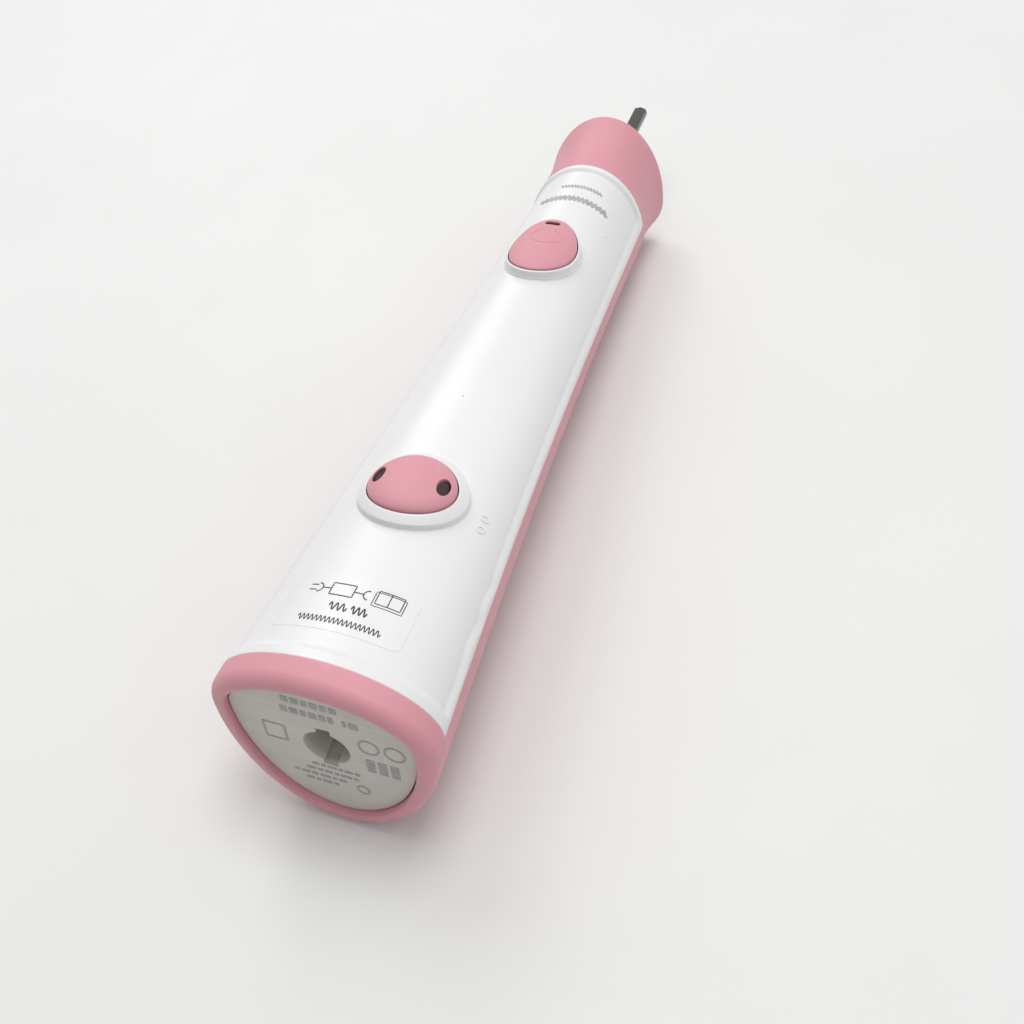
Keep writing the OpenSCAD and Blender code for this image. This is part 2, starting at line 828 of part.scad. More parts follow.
// E-shaped core behind the rotor: two outer legs and a middle leg on a yoke
module stator_core() {
    leg_depth = yoke_back - core_front - yoke_t + eps;
    color(STEEL) place()
        translate([0, 0, rotor_z0]) {
            translate([-core_half, yoke_back - yoke_t, 0])
                cube([2 * core_half, yoke_t, core_len]);
            for (x = [-core_half, core_half - leg_t])
                translate([x, core_front, 0])
                    cube([leg_t, leg_depth, core_len]);
            translate([-middle_leg / 2, core_front, 0])
                cube([middle_leg, leg_depth, core_len]);
        }
}

module drive_coil() {
    gap = 0.15;
    pole = 0.3;
    wide = core_half - leg_t - gap;
    deep = yoke_back - core_front - yoke_t - 2 * gap - pole;
    color(COPPER) place()
        translate([0, core_front + pole + gap, rotor_z0])
            difference() {
                translate([-wide, 0, -coil_room])
                    cube([2 * wide, deep, core_len + 2 * coil_room]);
                translate([-middle_leg / 2 - gap, -eps, -gap])
                    cube([middle_leg + 2 * gap, deep + 2 * eps, core_len + 2 * gap]);
            }
}

rod_r = 0.9;
rod_depth = 14;
shaft_z0 = drive_z0 - 1;   // inner end of the shaft
shoulder_z = rim_z + 0.6;   // where the shaft steps down to its free end

module drive_shaft() {
    flat_z = tip_z - flat_len;
    color([0.35, 0.34, 0.34]) place()
        difference() {
            on_shaft()
                rotate_extrude($fn = 64)
                    polygon([
                        [0, shaft_z0], [journal_r, shaft_z0], [journal_r, shoulder_z],
                        [shaft_r, shoulder_z], [shaft_r, tip_z - shaft_chamfer],
                        [shaft_r - shaft_chamfer, tip_z], [0, tip_z]
                    ]);
            translate([-shaft_r, -shaft_forward - shaft_r - 1, flat_z])
                cube([2 * shaft_r, 1 + flat_depth, flat_len + 1]);
            shaft_hole(rod_r + bearing_gap, shaft_z0, shaft_z0 + rod_depth);
        }
}

module magnet_carrier() {
    color(STEEL) place()
        difference() {
            on_shaft()
                translate([0, 0, rotor_z0])
                    cylinder(r = magnet_r - magnet_t, h = core_len, $fn = 64);
            shaft_hole(journal_r, rotor_z0, rotor_z0 + core_len);
        }
}

module drive_magnets() {
    color([0.5, 0.5, 0.55]) place()
        on_shaft()
            translate([0, 0, rotor_z0 + 0.5])
                intersection() {
                    difference() {
                        cylinder(r = magnet_r, h = core_len - 1, $fn = 64);
                        translate([0, 0, -eps])
                            cylinder(r = magnet_r - magnet_t + skin_gap, h = core_len, $fn = 64);
                    }
                    for (side = [-1, 1])
                        translate([side * 1.8 - 1.5, 0, 0])
                            cube([3, magnet_r + 1, core_len]);
                }
}

module torsion_rod() {
    anchor_r = 3;
    anchor_t = 2;
    low = shaft_z0 - seat_gap - anchor_t;
    color(STEEL) place()
        on_shaft() {
            translate([0, 0, low])
                cylinder(r = anchor_r, h = anchor_t, $fn = 64);
            translate([0, 0, low])
                cylinder(r = rod_r, h = anchor_t + rod_depth, $fn = 64);
        }
}

// ---- Nose ----

spigot_r = min(neck_w / 2 - back_inset, neck_back + shaft_forward - back_inset,
    neck_front - shaft_forward - front_inset) - seat_gap;
nose_r = collar_bore - 0.1;
nose_z0 = neck_z - 7;
nose_top = rim_z - 1;
seal_r = 6;

module nose_cone() {
    color(WHITE) place()
        on_shaft()
            rotate_extrude($fn = 64)
                polygon([
                    [spigot_r - 1.6, nose_z0], [spigot_r, nose_z0], [spigot_r, neck_z + seat_gap],
                    [nose_r, neck_z + seat_gap], [nose_r, nose_top - 1], [nose_r - 1, nose_top],
                    [seal_r + 1.5, nose_top], [seal_r + 1.5, nose_top - 1.6],
                    [seal_r - 1.5, nose_top - 1.6], [seal_r - 1.5, nose_top - 3.4],
                    [seal_r + 0.5, nose_top - 3.4], [spigot_r - 1.6, nose_top - 6]
                ]);
}

module nose_seal() {
    color(SMOKE) place()
        on_shaft()
            translate([0, 0, nose_z0 - 1.5 - seat_gap])
                rotate_extrude($fn = 64)
                    translate([spigot_r - 1.5, 0])
                        square([1.5, 1.5]);
}

module shaft_seal() {
    inner = journal_r + bearing_gap;
    color([0.8, 0.8, 0.8]) place()
        on_shaft()
            rotate_extrude($fn = 64)
                polygon([
                    [inner, nose_top - 1.6 + skin_gap], [seal_r, nose_top - 1.6 + skin_gap],
                    [seal_r, nose_top - 0.7], [inner + 1.6, nose_top - 0.7],
                    [inner + 0.9, nose_top + 0.8], [inner, nose_top + 0.8]
                ]);
}

module seal_retainer() {
    color(WHITE) place()
        on_shaft()
            translate([0, 0, nose_top - 0.7 + skin_gap])
                difference() {
                    cylinder(r = seal_r + 1.5 - seat_gap, h = 0.7, $fn = 64);
                    translate([0, 0, -eps])
                        cylinder(r = shaft_r + 2.4, h = 1, $fn = 64);
                }
}

housing();
soft_grip();
neck_collar();
base_ring();
end_cap();
end_cap_seal();
power_bezel();
power_button();
power_light_window();
power_plunger();
mode_bezel();
mode_button();
mode_light_windows();
mode_plunger();
circuit_board();
controller_chip();
board_components();
indicator_leds();
power_switch();
mode_switch();
board_screws();
chassis();
battery();
battery_tabs();
battery_pad();
coil_bobbin();
charging_coil();
drive_frame();
frame_screws();
stator_core();
drive_coil();
rear_bearing();
front_bearing();
drive_shaft();
magnet_carrier();
drive_magnets();
torsion_rod();
nose_cone();
nose_seal();
shaft_seal();
seal_retainer();
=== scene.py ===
import json
import math

import bmesh
import bpy
from mathutils import Matrix, Vector


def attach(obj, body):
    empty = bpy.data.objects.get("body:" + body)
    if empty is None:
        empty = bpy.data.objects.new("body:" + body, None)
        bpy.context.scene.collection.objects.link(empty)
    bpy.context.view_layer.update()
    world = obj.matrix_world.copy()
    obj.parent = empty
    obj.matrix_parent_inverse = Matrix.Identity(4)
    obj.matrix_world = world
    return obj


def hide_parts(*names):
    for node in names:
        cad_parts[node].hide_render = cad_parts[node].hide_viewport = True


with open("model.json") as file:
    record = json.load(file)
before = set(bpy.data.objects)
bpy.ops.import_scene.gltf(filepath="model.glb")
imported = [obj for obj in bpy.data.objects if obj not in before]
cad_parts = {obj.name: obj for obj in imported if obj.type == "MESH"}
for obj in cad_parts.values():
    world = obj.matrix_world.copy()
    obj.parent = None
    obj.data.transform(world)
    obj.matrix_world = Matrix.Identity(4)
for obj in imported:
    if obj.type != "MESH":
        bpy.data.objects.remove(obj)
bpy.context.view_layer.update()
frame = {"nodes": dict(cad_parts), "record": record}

# ---- Sizes in millimetres, most of them as in the CAD ----

RING_TOP = 3.7            # the soft base ring meets the shell here
NECK_Z = 143.0            # the shell meets the collar here
RIM_Z = 160.0             # brush end of the collar
TIP_Z = 191.0             # tip of the brush shaft
FOOT_Z = -1.2             # lowest face of the base ring when the handle stands
COLLAR_LEN = RIM_Z - NECK_Z
COLLAR_PINCH = 0.75
COLLAR_ROUND = 1.2
COLLAR_BORE = 10.65
RIM_BEVEL = 0.6
SHAFT_FORWARD = 3.37      # brush shaft axis ahead of the socket axis
RIM_W = 27.4
RIM_DEPTH = 30.8
SEAM_RISE = 8.0           # climb of the grip's seam towards the front, in degrees
SEAM_BEVEL = 0.1
RING_W = 2.86
RING_ROUND = 2.2
RING_INNER_ROUND = 0.45
REST_FLAT = 0.35
SHELL_WALL = 1.8
GRIP_WALL = 1.5
SKIN_GAP = 0.02
SEAT_GAP = 0.1

PANEL_LO = RING_TOP + 1.5
PANEL_HI = NECK_Z - 1.3
PANEL_CORNER = 3.0
RECESS = 0.6
RIM_ANGLE = 6.0           # the raised rim beside the panel ends this far from the seam, in degrees
STEP_W = 1.15             # width of the slope from a rim down to the panel
STEP_HI = 0.7             # width of the step at the neck
STEP_LO = 1.6             # width of the slope at the base

CAP_T = 2.2
CAP_SEAM = 0.25
SOCKET_R = 3.85
SOCKET_DEPTH = 13.0
KEYWAY_W = 2.4
KEYWAY_REACH = SOCKET_R + 1.0
WELL_R = KEYWAY_REACH + 1.4
WELL_END = SOCKET_DEPTH + 1.2

BUTTON_GAP = 0.2
BEZEL_LEDGE = 0.2
BEZEL_FOOT = 0.3
SKIRT_IN = 0.8            # a button reaches this far below the lowest point of its edge
POWER = {"name": "power", "z": 110.6, "rx": 6.6, "rz": 8.7, "proud": 1.9, "dome": 0.8, "frame": (0.95, 0.5)}
MODE = {"name": "mode", "z": 40.0, "rx": 7.5, "rz": 6.4, "proud": 2.1, "dome": 1.95, "frame": (1.9, 1.2)}
DOME_TURN = 78.0          # a dome is this much of a quarter turn of an ellipse
WINDOW_RX = 1.0
WINDOW_RZ = 1.75
WINDOW_X = 5.6
WINDOW_GAP = 0.05
LIGHT_X = 1.55
LIGHT_H = 1.2
LIGHT_Z = POWER["z"] + POWER["rz"] * 0.77

SHAFT_R = 1.7
JOURNAL_R = 1.95
SHOULDER_Z = RIM_Z + 0.6
SHAFT_Z0 = 71.6
SHAFT_CHAMFER = 0.5
FLAT_LEN = 9.0
FLAT_DEPTH = 0.5
NOSE_TOP = RIM_Z - 1
SEAL_R = 6.0
SPIGOT_R = 9.4

# Half width, depths and height of the widest line at the base, halfway and at the neck
HALF_W = (18.3, 14.8, 12.8)
FRONT = (17.25, 15.9, 16.0)
BACK = (20.3, 15.5, 11.5)
WIDEST = (5.75, 5.6, 0.2)
RIM_WIDEST = -1.2

# Height, reach and depth of each knock along the right rim near the base
KNOCKS = ((31.5, 1.6, 0.55), (27.0, 1.2, -0.3), (23.4, 1.5, 0.6), (18.5, 2.0, -0.35), (12.0, 2.5, 0.3))

LABEL_X = (-11.6, 9.7)
LABEL_Z = (9.6, 20.2)
LABEL_CORNER = 1.4
LABEL_T = 0.07
INK_T = 0.04
WAVE = 0.62               # length of one wave of a wavy line over its height
ROW_HALF = 12.0           # a bowed row comes back down to its own height this far from the middle

MM = 0.001

# ---- The handle's own frame: right, ahead (out of its front), up towards the brush ----

SOCKET = next(m for m in frame["record"]["mounts"] if m["name"] == "charge_socket")
SOCKET_POS_DEPTH = 6.0    # the mount's point lies this far inside the mouth
RIGHT = Vector((1, 0, 0))
ALONG = -Vector(SOCKET["axis"]).normalized()
AHEAD = RIGHT.cross(ALONG)
ORIGIN = Vector(SOCKET["pos_m"]) - ALONG * SOCKET_POS_DEPTH * MM


def at(x, ahead, z):
    return ORIGIN + (RIGHT * x + AHEAD * ahead + ALONG * z) * MM


# ---- Outline of the handle, as in the CAD ----

def clamp(v, low=0.0, high=1.0):
    return max(low, min(high, v))


def smooth(v):
    return v * v * (3 - 2 * v)


def curve(base, waist, neck, z):
    t = clamp((z - RING_TOP) / (NECK_Z - RING_TOP))
    return base * (1 - t) * (1 - 2 * t) + 4 * waist * t * (1 - t) + neck * t * (2 * t - 1)


def along_collar(z):
    return clamp((z - NECK_Z) / COLLAR_LEN)


def measure(values, rim, z):
    """A measure of the section at height z, from its values up to the neck and its value at the rim."""
    return curve(*values, z) + (rim - values[-1]) * along_collar(z) ** 1.25


def half_w(z):
    pinch = 4 * COLLAR_PINCH * along_collar(z) * (1 - along_collar(z))
    return measure(HALF_W, RIM_W / 2, z) - pinch


def front(z):
    return measure(FRONT, RIM_DEPTH / 2 + SHAFT_FORWARD, z)


def back(z):
    return measure(BACK, RIM_DEPTH / 2 - SHAFT_FORWARD, z)


def widest(z):
    return measure(WIDEST, RIM_WIDEST, z)


def seam(z):
    return SEAM_RISE * clamp((z - RING_TOP) / (NECK_Z - RING_TOP)) ** 3


REST_Z = (FOOT_Z + RING_ROUND, RIM_Z - COLLAR_ROUND)
REST_SLOPE = (back(REST_Z[0]) - back(REST_Z[1])) / (REST_Z[1] - REST_Z[0])


def table(z):
    """Distance of the table behind the socket axis."""
    return back(REST_Z[0]) - REST_FLAT - REST_SLOPE * (z - REST_Z[0])


def skin(z, angle, inset=0.0):
    """A point of the section at height z. Angles run from the right (0) over the front (90)."""
    a = math.radians(angle)
    depth = front(z) - widest(z) if math.sin(a) > 0 else back(z) + widest(z)
    ahead = (depth - inset) * math.sin(a) + widest(z)
    return ((half_w(z) - inset) * math.cos(a), max(ahead, -table(z)), z)


def worn(z):
    """How far the right rim is knocked in at height z."""
    return sum(depth * math.exp(-((z - middle) / reach) ** 2) for middle, reach, depth in KNOCKS)


def rounded_step(share):
    share = clamp(share)
    return 0.8 * share + 0.2 * smooth(share)


def panel_drop(z, angle):
    """How far the recessed panel lies under the outline."""
    near_side = min(angle, 180 - angle) - seam(z) - RIM_ANGLE
    side = (front(z) - widest(z)) * math.radians(near_side)
    if angle < 90:
        side += worn(z)
    side, end = side / STEP_W, (PANEL_HI - z) / STEP_HI
    corner = PANEL_CORNER / STEP_W
    if side < corner and end < corner:
        inside = corner - math.hypot(corner - side, corner - end)
    else:
        inside = min(side, end)
    return RECESS * rounded_step(inside) * smooth(clamp((z - PANEL_LO) / STEP_LO))


def panel(z, x, lift=0.0):
    """Height of the recessed panel ahead of the socket axis."""
    half, depth = half_w(z) - RECESS, front(z) - widest(z) - RECESS
    return depth * math.sqrt(max(0.0, 1 - (x / half) ** 2)) + widest(z) + lift


# ---- Meshes ----

SHARP = math.radians(32)
WELD = 1e-7


def spread(low, high, count):
    return [low + (high - low) * i / count for i in range(count + 1)]


def arc(start, end, count):
    """Sines and cosines over an arc in degrees."""
    return [(math.sin(math.radians(a)), math.cos(math.radians(a))) for a in spread(start, end, count)]


def finish_mesh(mesh):
    """Smooth shading, broken at edges that turn more than SHARP."""
    bm = bmesh.new()
    bm.from_mesh(mesh)
    bmesh.ops.remove_doubles(bm, verts=bm.verts, dist=WELD)
    bmesh.ops.dissolve_degenerate(bm, edges=bm.edges, dist=WELD)
    bmesh.ops.recalc_face_normals(bm, faces=bm.faces)
    for face in bm.faces:
        face.smooth = True
    for edge in bm.edges:
        edge.smooth = len(edge.link_faces) == 2 and edge.calc_face_angle() < SHARP
    bm.to_mesh(mesh)
    bm.free()


def new_piece(name, mesh, material):
    piece = bpy.data.objects.new(name, mesh)
    bpy.context.scene.collection.objects.link(piece)
    mesh.materials.clear()
    mesh.materials.append(material)
    return piece


def mesh_from(name, verts, faces):
    mesh = bpy.data.meshes.new(name)
    mesh.from_pydata([at(*v) for v in verts], [], faces)
    mesh.update()
    return mesh


def ring_faces(a, b, count):
    """Quads between the rings number a and b of count points each."""
    return [
        (a * count + j, a * count + (j + 1) % count, b * count + (j + 1) % count, b * count + j)
        for j in range(count)
    ]


def loft(rings, wrap=False):
    """Vertices and faces of a skin over equal rings, closed by its caps or onto itself."""
    count = len(rings[0])
    verts = [p for ring in rings for p in ring]
    faces = [f for i in range(len(rings) - 1) for f in ring_faces(i, i + 1, count)]
    if wrap:
        faces += ring_faces(len(rings) - 1, 0, count)
    else:
        last = len(verts) - count
        faces += [tuple(range(count - 1, -1, -1)), tuple(range(last, last + count))]
    return verts, faces


def joined(parts):
    verts, faces = [], []
    for part_verts, part_faces in parts:
        faces += [tuple(i + len(verts) for i in f) for f in part_faces]
        verts += part_verts
    return verts, faces


def piece_from(name, shape, material):
    mesh = mesh_from(name, *shape)
    finish_mesh(mesh)
    return new_piece(name, mesh, material)


def cut(piece, cutters):
    """Takes the cutters' shapes out of a piece, for good."""
    for shape in cutters:
        mesh = mesh_from("cutter", *shape)
        finish_mesh(mesh)
        cutter = bpy.data.objects.new("cutter", mesh)
        bpy.context.scene.collection.objects.link(cutter)
        modifier = piece.modifiers.new("cut", "BOOLEAN")
        modifier.object = cutter
        modifier.operation = "DIFFERENCE"
        modifier.solver = "EXACT"
        depsgraph = bpy.context.evaluated_depsgraph_get()
        result = bpy.data.meshes.new_from_object(piece.evaluated_get(depsgraph))
        piece.modifiers.clear()
        piece.data = result
        bpy.data.objects.remove(cutter)
    finish_mesh(piece.data)


def ellipse(x0, y0, rx, ry, count=40):
    return [
        (x0 + rx * math.cos(2 * math.pi * i / count), y0 + ry * math.sin(2 * math.pi * i / count))
        for i in range(count)
    ]


def ring_over(outline, height):
    """Lifts an outline of (x, z) points to a height, or to a function of x and z."""
    return [(x, height(x, z) if callable(height) else height, z) for x, z in outline]


def oval(z0, rx, rz, height):
    """A ring round the point z0 of the front, at a height or at a function of x and z."""
    return ring_over(ellipse(0.0, z0, rx, rz, 96), height)


def circle(r, z, count=96):
    """A ring about the brush shaft's axis."""
    return [(x, ahead, z) for x, ahead in ellipse(0.0, SHAFT_FORWARD, r, r, count)]


def turned(profile):
    """A closed solid about the brush shaft's axis from (radius, z) points."""
    return loft([circle(r, z) for r, z in profile], wrap=True)


# ---- Materials ----

class Shader:
    """A node material with the Principled shader, and short ways to feed it."""

    def __init__(self, name, **values):
        self.material = bpy.data.materials.new(name)
        self.material.use_nodes = True
        self.tree = self.material.node_tree
        self.surface = self.tree.nodes["Principled BSDF"]
        self.coords = self.node("ShaderNodeTexCoord").outputs["Object"]
        for socket, value in values.items():
            self.surface.inputs[socket.replace("_", " ")].default_value = value

    def node(self, kind, inputs=None, **settings):
        node = self.tree.nodes.new(kind)
        for key, value in settings.items():
            setattr(node, key, value)
        for key, value in (inputs or {}).items():
            if isinstance(value, bpy.types.NodeSocket):
                self.tree.links.new(value, node.inputs[key])
            else:
                node.inputs[key].default_value = value
        return node

    def stretched(self, scale):
        """Object coordinates scaled along the three axes."""
        return self.node("ShaderNodeMapping", {"Vector": self.coords, "Scale": scale}).outputs[0]

    def noise(self, size_mm, detail=3.0, roughness=0.55, vector=None):
        return self.node("ShaderNodeTexNoise", {
            "Vector": vector or self.coords, "Scale": 1000 / size_mm,
            "Detail": detail, "Roughness": roughness,
        }).outputs["Fac"]

    def ranged(self, value, low, high, start=0.3, end=0.7):
        return self.node("ShaderNodeMapRange", {
            "Value": value, "From Min": start, "From Max": end, "To Min": low, "To Max": high,
        }).outputs["Result"]

    def mixed(self, share, a, b):
        node = self.node("ShaderNodeMix", data_type="RGBA")
        for key, value in ((0, share), (6, a), (7, b)):
            if isinstance(value, bpy.types.NodeSocket):
                self.tree.links.new(value, node.inputs[key])
            else:
                node.inputs[key].default_value = value
        return node.outputs[2]

    def feed(self, socket, value):
        self.tree.links.new(value, self.surface.inputs[socket])

    def colour(self, base, spread_by, size_mm):
        """Base colour that drifts lighter and darker over patches of about size_mm."""
        dark = (*[c * (1 - spread_by) for c in base], 1)
        light = (*[min(1, c * (1 + spread_by)) for c in base], 1)
        return self.mixed(self.ranged(self.noise(size_mm), 0, 1), dark, light)

    def edges(self, colour, worn_colour, amount):
        """Paler where the surface turns sharply outwards."""
        pointiness = self.node("ShaderNodeNewGeometry").outputs["Pointiness"]
        return self.mixed(self.ranged(pointiness, 0, amount, 0.52, 0.62), colour, (*worn_colour, 1))

    def bump(self, height, distance_mm, strength=1.0):
        self.feed("Normal", self.node("ShaderNodeBump", {
            "Height": height, "Distance": distance_mm * MM, "Strength": strength,
        }).outputs["Normal"])


def soft_material(name, base):
    """Satin soft-touch rubber with a fine grain and slightly rubbed edges."""
    s = Shader(name, Sheen_Weight=0.12, Sheen_Roughness=0.5, Specular_IOR_Level=0.4)
    colour = s.edges(s.colour(base, 0.03, 18), [min(1, c * 1.12) for c in base], 0.5)
    s.feed("Base Color", colour)
    s.feed("Roughness", s.ranged(s.noise(6), 0.5, 0.62))
    s.bump(s.noise(0.16, 2), 0.006)
    return s.material


def gloss_material(name, base):
    """Glossy moulded plastic with handling haze, faint hairlines and a few dust specks."""
    s = Shader(name, Coat_Weight=0.12, Coat_Roughness=0.2, Specular_IOR_Level=0.45)
    specks = s.node("ShaderNodeTexVoronoi", {"Vector": s.coords, "Scale": 110.0}).outputs["Distance"]
    speck = s.ranged(specks, 1, 0, 0.012, 0.022)
    colour = s.mixed(speck, s.colour(base, 0.012, 22), (0.25, 0.24, 0.22, 1))
    s.feed("Base Color", colour)
    hairlines = s.noise(1.0, 2, vector=s.stretched((6, 0.25, 6)))
    haze = s.ranged(s.noise(14), 0.3, 0.36)
    s.feed("Roughness", s.mixed(s.ranged(hairlines, 0, 0.08, 0.55, 0.75), haze, (0.5, 0.5, 0.5, 1)))
    s.bump(s.noise(12, 1), 0.006)
    return s.material


def matt_material(name, base, grain_mm=0.25, rough=(0.5, 0.65), depth_mm=0.01):
    """Matt moulded plastic with a spark-eroded grain."""
    s = Shader(name, Specular_IOR_Level=0.4)
    light = [min(1, c * 1.15) for c in base]
    s.feed("Base Color", s.edges(s.colour(base, 0.04, 5), light, 0.4))
    s.feed("Roughness", s.ranged(s.noise(3), *rough))
    s.bump(s.noise(grain_mm, 2), depth_mm)
    return s.material


def metal_material(name, base, rough=(0.2, 0.35), grain=(1, 60, 1)):
    """Metal with fine marks that run round or along the piece."""
    s = Shader(name, Metallic=1.0)
    marks = s.noise(8, 3, vector=s.stretched(grain))
    s.feed("Base Color", s.mixed(s.ranged(marks, 0, 1), (*[c * 0.88 for c in base], 1), (*base, 1)))
    s.feed("Roughness", s.ranged(marks, *rough))
    s.bump(marks, 0.003)
    return s.material


def wire_material(name, base):
    """Enamelled wire wound side by side, with painted shade darkening the grooves between turns."""
    s = Shader(name, Metallic=0.9, Coat_Weight=0.4, Coat_Roughness=0.2)
    turns = s.node("ShaderNodeTexWave", {
        "Vector": s.coords, "Scale": 450.0, "Distortion": 0.6, "Detail": 1.0,
    }, bands_direction="Y").outputs["Fac"]
    # Painted shade: the base colour falls to half its brightness in a band on each turn, where the grooves
    # between wires lie.
    s.feed("Base Color", s.mixed(turns, (*[c * 0.5 for c in base], 1), (*base, 1)))
    s.feed("Roughness", s.ranged(turns, 0.45, 0.28, 0, 1))
    s.bump(turns, 0.05)
    return s.material


def print_material(name, base, rough=(0.4, 0.55)):
    """Thin printing ink, a little uneven."""
    s = Shader(name)
    s.feed("Base Color", s.colour(base, 0.15, 0.8))
    s.feed("Roughness", s.ranged(s.noise(1), *rough))
    s.bump(s.noise(0.1, 2), 0.002)
    return s.material


def film_material(name, base):
    """Clear-coated label film with faint waves."""
    s = Shader(name, Coat_Weight=0.3, Coat_Roughness=0.15)
    s.feed("Base Color", s.colour(base, 0.008, 6))
    s.feed("Roughness", s.ranged(s.noise(4), 0.22, 0.32))
    s.bump(s.noise(2.5, 2), 0.006)
    return s.material


def smoke_material(name, base):
    """Smoked clear plastic of a light window."""
    s = Shader(name, Coat_Weight=0.3, Coat_Roughness=0.08)
    s.feed("Base Color", s.colour(base, 0.25, 0.9))
    s.feed("Roughness", s.ranged(s.noise(0.6), 0.12, 0.3))
    s.bump(s.noise(0.5, 2), 0.004)
    return s.material


def floor_material(name, base):
    """Pale painted board with faint stains and scratches."""
    s = Shader(name, Specular_IOR_Level=0.25)
    stains = s.colour(base, 0.012, 60)
    scratch_map = s.stretched((4, 0.35, 1))
    scratches = s.ranged(s.noise(14, 6, 0.7, vector=scratch_map), 0, 0.06, 0.68, 0.74)
    s.feed("Base Color", s.mixed(scratches, stains, (0.45, 0.43, 0.4, 1)))
    s.feed("Roughness", s.ranged(s.noise(12), 0.5, 0.65))
    s.bump(s.noise(0.9, 4), 0.05, 0.5)
    return s.material


PINK = (0.70, 0.312, 0.368)
pink = soft_material("pink_soft_touch", PINK)
white = gloss_material("white_gloss_plastic", (0.82, 0.82, 0.825))
cap_grey = matt_material("warm_grey_plastic", (0.62, 0.60, 0.56))
smoke = smoke_material("smoked_window", (0.035, 0.018, 0.018))
shaft_metal = metal_material("dark_shaft_steel", (0.20, 0.19, 0.19), (0.16, 0.3), (1, 0.1, 1))
steel = metal_material("plain_steel", (0.62, 0.62, 0.64))
inner_plastic = matt_material("inner_plastic", (0.78, 0.77, 0.73), 0.4)
board_green = matt_material("solder_mask", (0.03, 0.16, 0.06), 0.8, (0.3, 0.45))
epoxy = matt_material("black_epoxy", (0.03, 0.03, 0.035), 0.2)
led_clear = smoke_material("clear_epoxy", (0.75, 0.75, 0.6))
copper = wire_material("enamelled_copper", (0.72, 0.34, 0.16))
bronze = metal_material("sintered_bronze", (0.55, 0.36, 0.16), (0.4, 0.6), (1, 1, 1))
sleeve = print_material("cell_sleeve", (0.05, 0.2, 0.1), (0.25, 0.4))
magnet = metal_material("nickel_plating", (0.6, 0.6, 0.62), (0.12, 0.25))
rubber = matt_material("black_rubber", (0.02, 0.02, 0.02), 0.3, (0.7, 0.85))
seal_grey = matt_material("grey_silicone", (0.55, 0.55, 0.55), 0.3, (0.45, 0.6))
label_film = film_material("label_film", (0.83, 0.83, 0.835))
ink_black = print_material("black_ink", (0.05, 0.05, 0.055))
ink_grey = print_material("grey_ink", (0.42, 0.43, 0.45))
ink_pale = print_material("pale_ink", (0.36, 0.35, 0.33))


# ---- White shell ----

def seam_bevel(z, angle):
    """Small bevel where white and pink meet, and none where pink meets pink."""
    on_front = seam(z) < angle < 180 - seam(z)
    return SEAM_BEVEL if on_front else 0.0


def front_angles(z):
    """Angles over the front, closest together on the slope beside each rim."""
    edge = seam(z) + RIM_ANGLE
    half = (
        [seam(z), seam(z) + 0.6] + spread(seam(z) + 1.5, edge - 2, 3)
        + spread(edge - 1, edge + 13, 26) + spread(edge + 14, edge + 24, 10)
        + spread(edge + 26, 88, 24)
    )
    return half + [180 - a for a in reversed(half)]


def back_angles(z, count=40):
    return spread(180 - seam(z), 360 + seam(z), count)


def shell_outer(z, bevel):
    over_front = front_angles(z)
    ring = []
    for i, a in enumerate(over_front):
        at_seam = i in (0, len(over_front) - 1)
        ring.append(skin(z, a, max(panel_drop(z, a), SEAM_BEVEL if at_seam else 0, bevel)))
    return ring + [skin(z, a, GRIP_WALL) for a in back_angles(z)]


def shell_inner(z):
    over_front = [clamp(a, seam(z) + 1, 179 - seam(z)) for a in front_angles(z)]
    over_back = [clamp(a, 181 - seam(z), 359 + seam(z)) for a in back_angles(z)]
    front_side = [skin(z, a, SHELL_WALL + RECESS) for a in over_front]
    return front_side + [skin(z, a, SHELL_WALL + GRIP_WALL) for a in over_back]


def barrel_cutter(button):
    reach = button["frame"][0] - BEZEL_LEDGE + SEAT_GAP
    heights = (widest(button["z"]), front(button["z"]) + 3)
    return loft([oval(button["z"], button["rx"] + reach, button["rz"] + reach, h) for h in heights])


def make_shell():
    heights = (
        [RING_TOP + 0.1] + spread(RING_TOP + 0.4, PANEL_LO - 0.3, 3)
        + spread(PANEL_LO - 0.15, PANEL_LO + 2.5, 20) + spread(PANEL_LO + 3, 48, 100)
        + spread(49.5, PANEL_HI - 5, 50) + spread(PANEL_HI - 4.5, PANEL_HI + 0.15, 36)
        + spread(PANEL_HI + 0.4, NECK_Z - 0.4, 4) + [NECK_Z - 0.1]
    )
    rings = [shell_outer(RING_TOP, SEAM_BEVEL)] + [shell_outer(z, 0) for z in heights]
    rings += [shell_outer(NECK_Z, SEAM_BEVEL)]
    rings += [shell_inner(z) for z in reversed(spread(RING_TOP, NECK_Z, 14))]
    piece = piece_from("white_shell", loft(rings, wrap=True), white)
    cut(piece, [barrel_cutter(POWER), barrel_cutter(MODE)])
    return piece


# ---- Soft grip, collar and base ring ----

def grip_ring(z):
    angles = back_angles(z, 72)
    outer = [skin(z, a, SEAM_BEVEL if i in (0, 72) else 0) for i, a in enumerate(angles)]
    return outer + [skin(z, a, GRIP_WALL - SKIN_GAP) for a in reversed(angles)]


def make_grip():
    return piece_from("soft_back", loft([grip_ring(z) for z in spread(RING_TOP, NECK_Z, 70)]), pink)


ROUND = [360 * i / 144 for i in range(144)]


def full_ring(z, inset=0.0):
    return [skin(z, a, inset) for a in ROUND]


